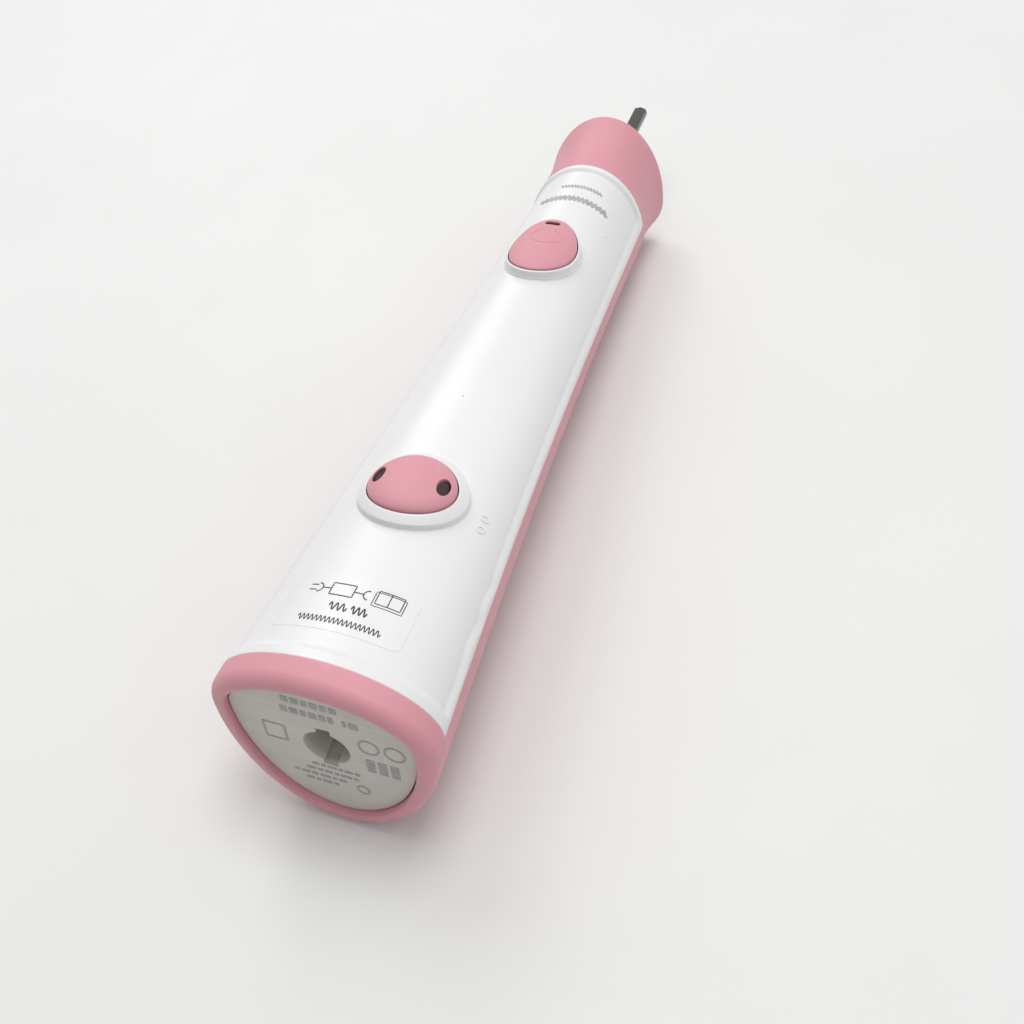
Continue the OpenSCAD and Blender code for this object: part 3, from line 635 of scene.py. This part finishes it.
def make_collar():
    rings = [[skin(NECK_Z, a, seam_bevel(NECK_Z, a)) for a in ROUND]]
    rings += [full_ring(z) for z in spread(NECK_Z + 0.12, RIM_Z - COLLAR_ROUND, 26)]
    for s, c in arc(0, 90, 10)[1:]:
        rings.append(full_ring(RIM_Z - COLLAR_ROUND * (1 - s), COLLAR_ROUND * (1 - c)))
    edge = RIM_Z - RIM_BEVEL
    bore = ((COLLAR_BORE + 0.25, edge + 0.15), (COLLAR_BORE, edge - 0.2), (COLLAR_BORE, NECK_Z))
    rings += [circle(r, z, len(ROUND)) for r, z in bore]
    return piece_from("soft_collar", loft(rings, wrap=True), pink)


def make_base_ring():
    rings = [full_ring(RING_TOP, RING_W), [skin(RING_TOP, a, seam_bevel(RING_TOP, a)) for a in ROUND]]
    rings += [full_ring(z) for z in spread(RING_TOP - 0.12, FOOT_Z + RING_ROUND, 5)]
    for s, c in arc(90, 0, 16)[1:]:
        rings.append(full_ring(FOOT_Z + RING_ROUND * (1 - c), RING_ROUND * (1 - s)))
    for s, c in arc(0, 90, 6):
        inset = RING_W - RING_INNER_ROUND * (1 - s)
        rings.append(full_ring(FOOT_Z + RING_INNER_ROUND * (1 - c), inset))
    return piece_from("soft_foot", loft(rings, wrap=True), pink)


# ---- Base plate with the charging socket ----

def plate(name, outlines, z_low, z_high, bevel, material):
    """A flat piece from outlines of (x, ahead) points with bevelled edges, between two heights."""
    data = bpy.data.curves.new(name, "CURVE")
    data.dimensions = "2D"
    data.fill_mode = "BOTH"
    data.extrude = ((z_high - z_low) / 2 - bevel) * MM
    data.bevel_depth = bevel * MM
    data.bevel_resolution = 2
    data.offset = -bevel * MM
    for outline in outlines:
        spline = data.splines.new("POLY")
        spline.points.add(len(outline) - 1)
        for point, (x, ahead) in zip(spline.points, outline):
            point.co = (x * MM, ahead * MM, 0, 1)
        spline.use_cyclic_u = True
    source = bpy.data.objects.new(name + "_outline", data)
    bpy.context.scene.collection.objects.link(source)
    bpy.context.view_layer.update()
    mesh = bpy.data.meshes.new_from_object(source.evaluated_get(bpy.context.evaluated_depsgraph_get()))
    bpy.data.objects.remove(source)
    turn = Matrix((RIGHT, AHEAD, -ALONG)).transposed().to_4x4()
    mesh.transform(Matrix.Translation(at(0, 0, (z_low + z_high) / 2)) @ turn)
    finish_mesh(mesh)
    return new_piece(name, mesh, material)


def keyed():
    """Outline of the socket: a bore with a keyway at the front and one at the back."""
    half = KEYWAY_W / 2
    turn = math.pi / 2 - math.asin(half / SOCKET_R)
    right_side = [(SOCKET_R * math.cos(a), SOCKET_R * math.sin(a)) for a in spread(-turn, turn, 45)]
    top = [(half, KEYWAY_REACH), (-half, KEYWAY_REACH)]
    left_side = [(-x, -y) for x, y in right_side]
    return right_side + top + left_side + [(-x, -y) for x, y in top]


def make_base_plate():
    outline = [skin(0, a, RING_W + CAP_SEAM)[:2] for a in ROUND]
    return plate("base_plate", [outline, keyed()], 0, CAP_T, 0.14, cap_grey)


def make_socket():
    inner = keyed()
    turns = [2 * math.pi * (i + 0.5) / len(inner) - math.pi / 2 for i in range(len(inner))]
    outer = [(WELL_R * math.cos(a), WELL_R * math.sin(a)) for a in turns]
    end = [(x * 0.95, ahead * 0.95) for x, ahead in outer]
    levels = (
        (inner, SOCKET_DEPTH), (inner, CAP_T / 2), (outer, CAP_T / 2),
        (outer, WELL_END - 0.4), (end, WELL_END),
    )
    rings = [[(x, ahead, z) for x, ahead in outline] for outline, z in levels]
    return piece_from("socket_well", loft(rings), cap_grey)


# ---- Buttons and bezels ----

def over_panel(gap):
    """A height function for oval(): gap above the front panel."""
    return lambda x, z: panel(z, x, gap)


def dome_height(button, x, z):
    """Height of a button's face ahead of the socket axis."""
    share = math.hypot(x / button["rx"], (z - button["z"]) / button["rz"])
    rise = math.sqrt(max(0.0, 1 - share * share)) / math.sin(math.radians(DOME_TURN))
    return panel(z, x, button["proud"] + button["dome"] * min(1.0, rise))


def underside(button):
    edge = oval(button["z"], button["rx"], button["rz"], over_panel(button["proud"]))
    return min(ahead for x, ahead, z in edge) - SKIRT_IN


def make_button(button):
    z, rx, rz, proud = (button[k] for k in ("z", "rx", "rz", "proud"))
    low = underside(button)
    rings = [oval(z, rx - 0.1, rz - 0.1, low), oval(z, rx, rz, low + 0.1)]
    rings += [oval(z, rx, rz, over_panel(proud - h)) for h in (0.4, 0.2, 0)]
    for s, c in arc(0, DOME_TURN, 30)[1:]:
        rise = button["dome"] * s / math.sin(math.radians(DOME_TURN))
        rings.append(oval(z, rx * c, rz * c, over_panel(proud + rise)))
    rings += [oval(z, rx * c, rz * c, over_panel(proud + button["dome"])) for c in (0.12, 0.03)]
    return piece_from(button["name"] + "_cap", loft(rings), pink)


def make_bezel(button):
    """The frame round a button, from its barrel under the shell up over its lip."""
    def ring(reach, height):
        return oval(button["z"], button["rx"] + reach, button["rz"] + reach, height)

    proud = button["proud"]
    width, wall = button["frame"]
    low = front(button["z"]) - SHELL_WALL - RECESS - 1.4
    barrel = width - BEZEL_LEDGE
    rings = [ring(BUTTON_GAP, low), ring(barrel, low)]
    profile = [
        (barrel, 0.05), (width + BEZEL_FOOT * 0.5, 0.0), (width + BEZEL_FOOT * 0.5, 0.04),
        (width + BEZEL_FOOT * 0.2, 0.08), (width + BEZEL_FOOT * 0.05, 0.18),
        (width, 0.3), (width - 0.02, wall - 0.08), (width - 0.06, wall - 0.02), (width - 0.13, wall + 0.03),
        (BUTTON_GAP + 0.45, proud - 0.16), (BUTTON_GAP + 0.3, proud - 0.09),
        (BUTTON_GAP + 0.15, proud - 0.07), (BUTTON_GAP + 0.04, proud - 0.13), (BUTTON_GAP, proud - 0.25),
    ]
    rings += [ring(reach, over_panel(gap)) for reach, gap in profile]
    return piece_from(button["name"] + "_frame", loft(rings, wrap=True), white)


def slot_outline(half_x, half_z):
    """An outline with round ends, for the light slot in the power button."""
    points = []
    for side in (1, -1):
        for a in spread(-90, 90, 10):
            x = side * (half_x - half_z + half_z * math.cos(math.radians(a)))
            points.append((x, LIGHT_Z + side * half_z * math.sin(math.radians(a))))
    return points


def through(button, outline):
    """A cutter through a button along its travel."""
    low, high = underside(button) - 1, front(button["z"]) + 6
    return loft([ring_over(outline, low), ring_over(outline, high)])


def window_outline(side, grow):
    return ellipse(side * WINDOW_X, MODE["z"], WINDOW_RX + grow, WINDOW_RZ + grow, 48)


def sunk(button, depth):
    return lambda x, z: dome_height(button, x, z) - depth


def make_mode_windows():
    shapes = []
    for side in (-1, 1):
        rings = [ring_over(window_outline(side, 0), underside(MODE))]
        for grow, depth in ((0, 0.55), (-0.1, 0.45), (-0.5, 0.42), (-0.9, 0.42)):
            rings.append(ring_over(window_outline(side, grow), sunk(MODE, depth)))
        shapes.append(loft(rings))
    return piece_from("mode_windows", joined(shapes), smoke)


def make_power_window():
    rings = [
        ring_over(slot_outline(LIGHT_X, LIGHT_H / 2), underside(POWER)),
        ring_over(slot_outline(LIGHT_X, LIGHT_H / 2), sunk(POWER, 0.4)),
        ring_over(slot_outline(LIGHT_X - 0.1, LIGHT_H / 2 - 0.1), sunk(POWER, 0.34)),
    ]
    return piece_from("power_window", loft(rings), smoke)


# ---- Strokes laid on a curved surface ----

def stroke(points, width, height, thickness=INK_T, closed=False):
    """A flat ribbon of (x, z) points on a surface given by height(x, z), as a thin solid."""
    count = len(points)
    rings = []
    for i, (x, z) in enumerate(points):
        before = points[(i - 1) % count] if closed or i else points[i]
        after = points[(i + 1) % count] if closed or i < count - 1 else points[i]
        dx, dz = after[0] - before[0], after[1] - before[1]
        length = math.hypot(dx, dz)
        wide = width(x, z) if callable(width) else width
        nx, nz = -dz / length * wide / 2, dx / length * wide / 2
        steps = 2 if wide < 1 else 12
        across = [(x + nx * k, z + nz * k) for k in spread(-1, 1, steps)]
        top = [(px, height(px, pz) + thickness, pz) for px, pz in across]
        bottom = [(px, height(px, pz), pz) for px, pz in reversed(across)]
        rings.append(top + bottom)
    return loft(rings, wrap=closed)


def bar(x0, x1, z, width, height):
    """A short printed line from x0 to x1."""
    return stroke([(x, z) for x in spread(x0, x1, 2)], width, height)


def on_panel(x, z):
    return panel(z, x, -0.01)


def on_label(x, z):
    return panel(z, x, 0.05)


def make_label():
    """A rounded rectangle of film on the panel near the base."""
    (x0, x1), (z0, z1), corner = LABEL_X, LABEL_Z, LABEL_CORNER

    def width(x, z):
        past = max(0.0, max(x0 + corner - x, x - (x1 - corner)))
        return (z1 - z0) - 2 * (corner - math.sqrt(max(0.0, corner ** 2 - past ** 2)))

    ends = spread(0, corner, 8)
    xs = [x0 + 0.02 + e for e in ends] + spread(x0 + corner + 0.5, x1 - corner - 0.5, 36)
    xs += [x1 - 0.02 - e for e in reversed(ends)]
    points = [(x, (z0 + z1) / 2) for x in xs]
    return piece_from("label_film", stroke(points, width, on_panel, LABEL_T), label_film)


def box_mark(x0, z0, half_x, half_z, width, height):
    """A printed rectangle, drawn with straight sides."""
    corners = [(-half_x, -half_z), (half_x, -half_z), (half_x, half_z), (-half_x, half_z)]
    points = []
    for (ax, az), (bx, bz) in zip(corners, corners[1:] + corners[:1]):
        points += [(x0 + ax + (bx - ax) * k, z0 + az + (bz - az) * k) for k in spread(0, 1, 8)[:-1]]
    return stroke(points, width, height, closed=True)


def half_loop(x0, z0, radius, facing, width, height):
    points = [(x0 + facing * radius * c, z0 + radius * s) for s, c in arc(-90, 90, 14)]
    return stroke(points, width, height)


def scribble(x0, lengths, gap, z, size, width, height, rise=0.0):
    """Wavy lines the size of a row of words, with a gap between them."""
    shapes = []
    for length in lengths:
        waves = max(1, round(length / (size * WAVE)))
        points = []
        for share in spread(0, 1, waves * 8):
            x = x0 + length * share
            middle = z + rise * (1 - (x / ROW_HALF) ** 2)
            points.append((x, middle + size / 2 * math.sin(2 * math.pi * waves * share)))
        shapes.append(stroke(points, width, height))
        x0 += length + gap
    return shapes


def make_label_marks():
    """A plug, a box and a socket, an open booklet, and two wavy lines."""
    ink, row, radius, booklet = 0.2, 17.5, 0.85, 5.2
    shapes = [
        half_loop(-6.6, row, radius, 1, ink, on_label), half_loop(1.9, row, radius, -1, ink, on_label),
        bar(-7.9, -6.7, row + 0.5, ink, on_label), bar(-7.9, -6.7, row - 0.5, ink, on_label),
        bar(-5.7, -4.4, row, ink, on_label), bar(-0.4, 1.0, row, ink, on_label),
        box_mark(-2.4, row, 1.9, 1.15, ink, on_label),
        box_mark(booklet, row + 0.2, 2.0, 1.25, 0.16, on_label),
        box_mark(booklet, row - 0.2, 2.4, 1.35, 0.13, on_label),
        stroke([(booklet, z) for z in spread(row - 1.0, row + 1.4, 8)], 0.16, on_label),
    ]
    shapes += scribble(-3.2, [2.9, 2.6], 0.7, 14.2, 1.5, 0.24, on_label)
    shapes += scribble(-7.2, [13.4], 0.5, 11.5, 1.15, 0.17, on_label)
    return piece_from("label_marks", joined(shapes), ink_black)


def make_neck_marks():
    shapes = scribble(-3.6, [9.0], 0.5, 134.4, 1.1, 0.3, on_panel, 0.9)
    shapes += scribble(-6.8, [14.6], 0.5, 129.8, 1.6, 0.6, on_panel, 0.9)
    return piece_from("neck_marks", joined(shapes), ink_grey)


def make_dimples():
    """Two small moulded rings on the panel beside the mode button."""
    rings = [ellipse(x, z, 0.55, 0.55, 24) for x, z in ((12.0, 40.5), (12.15, 38.1))]
    shapes = [stroke(ring, 0.3, on_panel, 0.2, closed=True) for ring in rings]
    return piece_from("moulded_dots", joined(shapes), white)


def make_relief():
    """Raised ring with a short bar on the power button."""
    middle = POWER["z"] + 2.1
    ring = [(3.0 * c, middle + 2.45 * s) for s, c in arc(112, 428, 48)]
    upright = [(0, z) for z in spread(middle + 0.4, middle + 2.6, 5)]
    shapes = [stroke(points, 0.35, sunk(POWER, 0.05), 0.11) for points in (ring, upright)]
    return piece_from("power_relief", joined(shapes), pink)


def rounded_box(x0, x1, y0, y1, r=0.15):
    left, right, low, high = x0 + r, x1 - r, y0 + r, y1 - r
    corners = ((right, high), (left, high), (left, low), (right, low))
    points = []
    for i, (cx, cy) in enumerate(corners):
        points += [(cx + r * c, cy + r * s) for s, c in arc(90 * i, 90 * i + 90, 2)]
    return points


def row_of_boxes(x0, lengths, gap, y, height):
    boxes = []
    for length in lengths:
        boxes.append(rounded_box(x0, x0 + length, y - height / 2, y + height / 2))
        x0 += length + gap
    return boxes


def make_base_marks():
    """Plain bars, frames and rings on the base plate in place of its printing."""
    outlines = row_of_boxes(-5.6, [1.2, 1.4, 1.0, 1.3, 1.1, 1.2], 0.35, 10.9, 1.4)
    outlines += row_of_boxes(-6.2, [1.2, 1.4, 1.0, 1.3, 1.1, 0.9], 0.35, 8.2, 1.5)
    outlines += row_of_boxes(3.9, [0.6, 1.5], 0.4, 8.2, 1.5)
    outlines += [rounded_box(-10.4, -6.4, -1.1, 3.3, 0.4), rounded_box(-10.0, -6.8, -0.7, 2.9, 0.3)]
    for x in (7.4, 11.6):
        outlines += [ellipse(x, 3.4, 1.8, 1.9), ellipse(x, 3.4, 1.4, 1.5)]
    outlines += row_of_boxes(6.4, [1.4, 1.4, 1.4], 0.6, -1.7, 3.4)
    outlines += row_of_boxes(-3.4, [1.2, 0.8, 1.6, 0.7, 1.4, 0.9], 0.3, -5.6, 0.7)
    outlines += row_of_boxes(-4.6, [1.6, 0.9, 1.3, 0.8, 1.9, 0.9], 0.3, -7.2, 0.7)
    outlines += row_of_boxes(-7.0, [0.9, 1.5, 1.1, 1.8, 0.8, 1.4], 0.3, -8.8, 0.7)
    outlines += row_of_boxes(-5.2, [1.4, 0.8, 1.6, 0.9], 0.3, -10.4, 0.7)
    outlines += [ellipse(4.7, -9.8, 1.2, 1.2), ellipse(4.7, -9.8, 0.8, 0.8)]
    return plate("base_marks", outlines, -0.06, 0.02, 0.01, ink_pale)


# ---- Brush end ----

def flattened(ring):
    """A ring of the shaft where its front has the flat."""
    return [(x, min(ahead, SHAFT_FORWARD + SHAFT_R - FLAT_DEPTH), z) for x, ahead, z in ring]


def make_shaft():
    flat_z = TIP_Z - FLAT_LEN
    profile = [
        (JOURNAL_R - 0.2, SHAFT_Z0), (JOURNAL_R, SHAFT_Z0 + 0.2), (JOURNAL_R, SHOULDER_Z - 0.1),
        (JOURNAL_R - 0.1, SHOULDER_Z), (SHAFT_R, SHOULDER_Z + 0.02),
    ]
    profile += [(SHAFT_R, z) for z in spread(SHOULDER_Z + 0.4, flat_z, 20)]
    tip = [(SHAFT_R, flat_z + 0.02), (SHAFT_R, TIP_Z - SHAFT_CHAMFER), (SHAFT_R - SHAFT_CHAMFER, TIP_Z)]
    rings = [circle(r, z, 72) for r, z in profile] + [flattened(circle(r, z, 72)) for r, z in tip]
    return piece_from("brush_shaft", loft(rings), shaft_metal)


def make_nose():
    spigot, nose = SPIGOT_R, COLLAR_BORE - SEAT_GAP
    profile = [
        (spigot - 1.6, NECK_Z - 7), (spigot, NECK_Z - 7), (spigot, NECK_Z + SEAT_GAP),
        (nose, NECK_Z + SEAT_GAP), (nose, NOSE_TOP - 1), (nose - 0.3, NOSE_TOP - 0.35),
        (nose - 1, NOSE_TOP), (SEAL_R + 1.6, NOSE_TOP), (SEAL_R + 1.5, NOSE_TOP - 0.1),
        (SEAL_R + 1.5, NOSE_TOP - 1.6), (SEAL_R - 1.5, NOSE_TOP - 1.6), (SEAL_R - 1.5, NOSE_TOP - 3.4),
        (SEAL_R + 0.5, NOSE_TOP - 3.4), (spigot - 1.6, NOSE_TOP - 6),
    ]
    return piece_from("nose", turned(profile), white)


def make_shaft_seal():
    inner = JOURNAL_R + 0.04
    profile = [
        (inner, NOSE_TOP - 1.58), (SEAL_R, NOSE_TOP - 1.58), (SEAL_R, NOSE_TOP - 0.7),
        (inner + 1.6, NOSE_TOP - 0.7), (inner + 1.3, NOSE_TOP - 0.4), (inner + 0.95, NOSE_TOP + 0.65),
        (inner + 0.75, NOSE_TOP + 0.8), (inner + 0.15, NOSE_TOP + 0.8), (inner, NOSE_TOP + 0.65),
    ]
    return piece_from("nose_seal_lip", turned(profile), seal_grey)


def make_retainer():
    low, high = NOSE_TOP - 0.68, NOSE_TOP + 0.02
    inner, outer = SHAFT_R + 2.4, SEAL_R + 1.4
    profile = [
        (inner, low), (outer, low), (outer, high - 0.12), (outer - 0.12, high),
        (inner + 0.12, high), (inner, high - 0.12),
    ]
    return piece_from("nose_retainer", turned(profile), white)


# ---- Pieces on their bodies ----

def settle(piece, body, slot, *nodes):
    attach(piece, body)
    if nodes:
        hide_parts(*nodes)


def make_power_button():
    piece = make_button(POWER)
    cut(piece, [through(POWER, slot_outline(LIGHT_X + WINDOW_GAP, LIGHT_H / 2 + WINDOW_GAP))])
    return piece


def make_mode_button():
    piece = make_button(MODE)
    cut(piece, [through(MODE, window_outline(side, WINDOW_GAP)) for side in (-1, 1)])
    return piece


settle(make_shell(), "root", "white_gloss", "housing")
settle(make_grip(), "root", "pink_soft", "soft_grip")
settle(make_collar(), "root", "pink_soft", "neck_collar")
settle(make_base_ring(), "root", "pink_soft", "base_ring")
settle(make_base_plate(), "root", "cap_grey", "end_cap")
settle(make_socket(), "root", "cap_grey")
settle(make_base_marks(), "root", "cap_grey")
settle(make_bezel(POWER), "root", "white_gloss", "power_bezel")
settle(make_bezel(MODE), "root", "white_gloss", "mode_bezel")
settle(make_power_button(), "power_button", "pink_soft", "power_button")
settle(make_relief(), "power_button", "pink_soft")
settle(make_power_window(), "power_button", "smoke_window", "power_light_window")
settle(make_mode_button(), "mode_button", "pink_soft", "mode_button")
settle(make_mode_windows(), "mode_button", "smoke_window", "mode_light_windows")
settle(make_label(), "root", "white_gloss")
settle(make_label_marks(), "root", "smoke_window")
settle(make_neck_marks(), "root", "smoke_window")
settle(make_dimples(), "root", "white_gloss")
settle(make_shaft(), "brush_drive", "shaft_steel", "drive_shaft")
settle(make_nose(), "root", "white_gloss", "nose_cone")
settle(make_shaft_seal(), "root", "seal_grey", "shaft_seal")
settle(make_retainer(), "root", "white_gloss", "seal_retainer")

INSIDE = {
    "inner_plastic": inner_plastic, "board_green": board_green, "component_dark": epoxy,
    "led_clear": led_clear, "steel": steel, "copper_wire": copper, "bronze": bronze,
    "cell_sleeve": sleeve, "magnet": magnet, "seal_rubber": rubber,
}
for subpart in frame["record"]["subparts"]:
    node = frame["nodes"][subpart["node"]]
    if not node.hide_render:
        node.data.materials.clear()
        node.data.materials.append(INSIDE[subpart["material_slot"]])


# ---- Floor, light and camera ----

FLOOR_HALF = 3.0          # metres
ROOM_LIGHT = 0.156        # strength from every side, once for each lobe
ROOM_LOBES = (((0, 0, 1), 0.508), ((0, 1, 0), 0.187), ((1, 0, 0), 0.17))    # direction and strength added
LAMPS = (                 # name, place in metres and power in watts
    ("lamp_left", (-0.45, 0.35, 0.85), 1.6),
    ("lamp_top", (0.1, 0.1, 1.05), 4.1),
    ("lamp_back", (-0.6, 0.9, 0.6), 1.5),
)
LAMP_SIZE = 0.5
CAMERA_PLACE = (63.29, 150.94, -80.46)      # in the handle's own frame
CAMERA_TURN = (-24.578, -46.76, -6.281)     # yaw, pitch and roll in the handle's own frame
SENSOR_W = 36
FOCAL_LENGTH = 41.55
LENS_SHIFT = (0.0479, 0.0142)


def make_floor():
    mesh = bpy.data.meshes.new("floor")
    corners = [(-1, -1), (1, -1), (1, 1), (-1, 1)]
    mesh.from_pydata([(x * FLOOR_HALF, y * FLOOR_HALF, 0) for x, y in corners], [], [(0, 1, 2, 3)])
    floor = new_piece("floor", mesh, floor_material("pale_floor", (0.79, 0.795, 0.785)))


def lamp(name, place, power):
    """A round soft lamp that faces the origin."""
    data = bpy.data.lights.new(name, "AREA")
    data.shape = "DISK"
    data.size = LAMP_SIZE
    data.energy = power
    light = bpy.data.objects.new(name, data)
    bpy.context.scene.collection.objects.link(light)
    light.location = place
    light.rotation_euler = (-Vector(place)).to_track_quat("-Z", "Y").to_euler()


def make_light():
    """A room that is bright overhead and behind the brush end, and three soft lamps."""
    world = bpy.data.worlds.new("soft_room")
    bpy.context.scene.world = world
    world.use_nodes = True
    nodes, links = world.node_tree.nodes, world.node_tree.links
    direction = nodes.new("ShaderNodeTexCoord").outputs["Generated"]
    total = None
    for towards, strength in ROOM_LOBES:
        facing = nodes.new("ShaderNodeVectorMath")
        facing.operation = "DOT_PRODUCT"
        facing.inputs[1].default_value = towards
        links.new(direction, facing.inputs[0])
        lobe = nodes.new("ShaderNodeMapRange")
        lobe.inputs["To Max"].default_value = strength
        links.new(facing.outputs["Value"], lobe.inputs["Value"])
        added = nodes.new("ShaderNodeMath")
        added.inputs[1].default_value = ROOM_LIGHT
        links.new(lobe.outputs["Result"], added.inputs[0])
        if total:
            links.new(total, added.inputs[1])
        total = added.outputs["Value"]
    links.new(total, nodes["Background"].inputs["Strength"])
    nodes["Background"].inputs["Color"].default_value = (1, 1, 1, 1)
    for name, place, power in LAMPS:
        lamp(name, place, power)


def make_camera():
    data = bpy.data.cameras.new("camera")
    camera = bpy.data.objects.new("camera", data)
    bpy.context.scene.collection.objects.link(camera)
    yaw, pitch, roll = map(math.radians, CAMERA_TURN)
    look = Vector((math.sin(yaw) * math.cos(pitch), math.cos(yaw) * math.cos(pitch), math.sin(pitch)))
    level = look.cross(Vector((0, 0, 1))).normalized()
    rise = level.cross(look)
    across = level * math.cos(roll) + rise * math.sin(roll)
    upward = -level * math.sin(roll) + rise * math.cos(roll)
    axes = [RIGHT * v.x + ALONG * v.y + AHEAD * v.z for v in (across, upward, -look)]
    placed = Matrix(axes).transposed().to_4x4()
    placed.translation = at(*CAMERA_PLACE)
    camera.matrix_world = placed
    data.sensor_width = SENSOR_W
    data.lens = FOCAL_LENGTH
    data.shift_x, data.shift_y = LENS_SHIFT
    data.clip_start = 0.01
    bpy.context.scene.camera = camera


make_floor()
make_light()
make_camera()
bpy.context.scene.view_settings.view_transform = "Standard"

bpy.context.view_layer.update()
